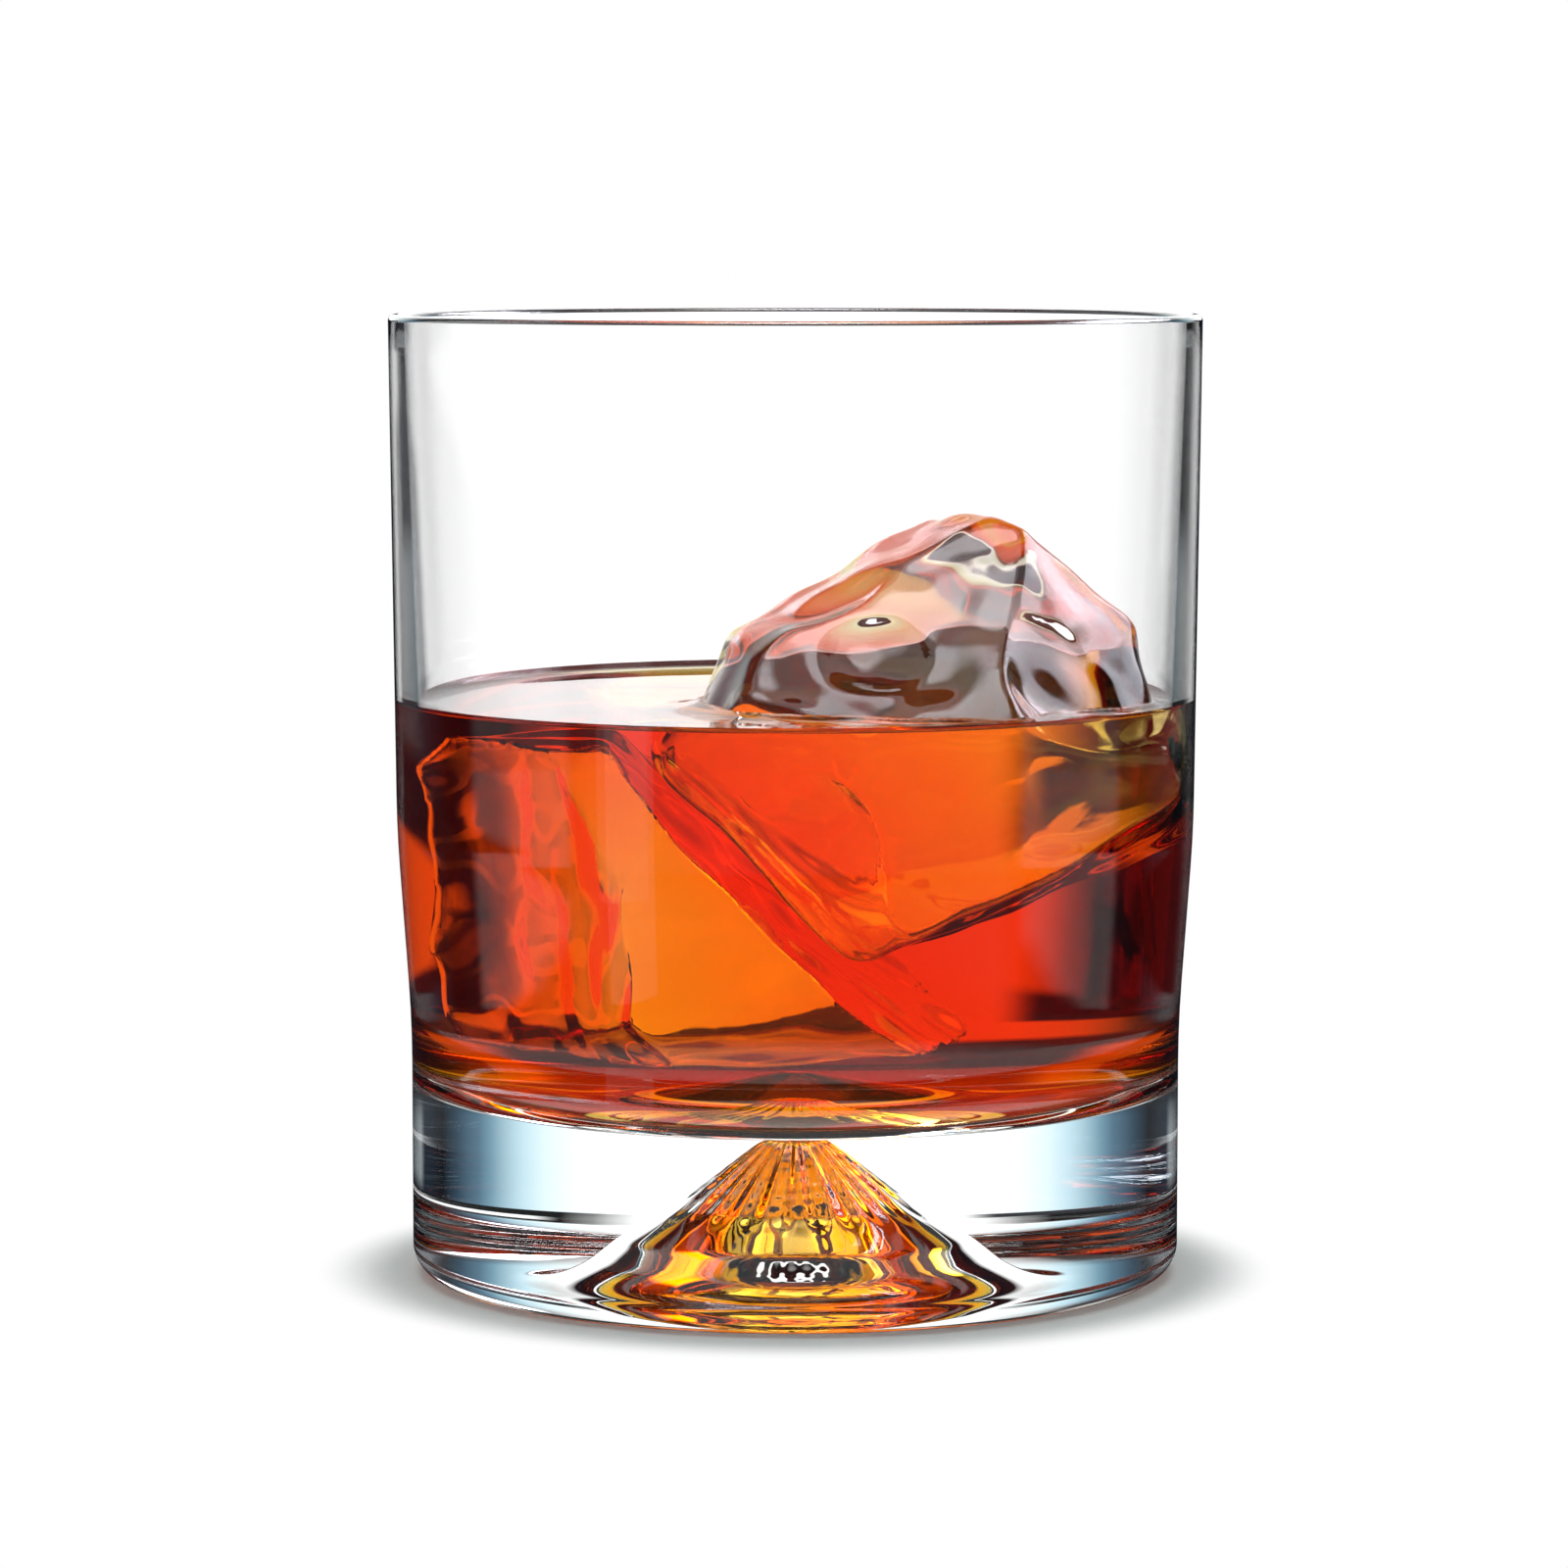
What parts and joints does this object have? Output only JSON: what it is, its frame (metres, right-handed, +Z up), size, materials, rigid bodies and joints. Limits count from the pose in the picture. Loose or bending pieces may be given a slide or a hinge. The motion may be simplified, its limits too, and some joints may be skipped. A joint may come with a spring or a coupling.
{
  "type": "old fashioned cocktail in a tumbler",
  "caption": "Amber spirit over a melting block of ice in a heavy-based clear tumbler with a hollow cone under its foot.",
  "frame": {"origin": "centre of the circle that the tumbler stands on", "axes": "+Z up along the tumbler's axis; -Y towards the front, where the ice is nearest the wall; +X to the right"},
  "size_m": [0.08, 0.08, 0.095],
  "materials": {
    "tumbler_glass": "polished clear pressed glass",
    "amber_drink": "clear amber spirit",
    "clear_ice": "wet clear ice, frosted on one face"
  },
  "bodies": {
    "root": {"glass": "tumbler_glass", "drink": "amber_drink", "ice_block": "clear_ice"}
  },
  "joints": []
}
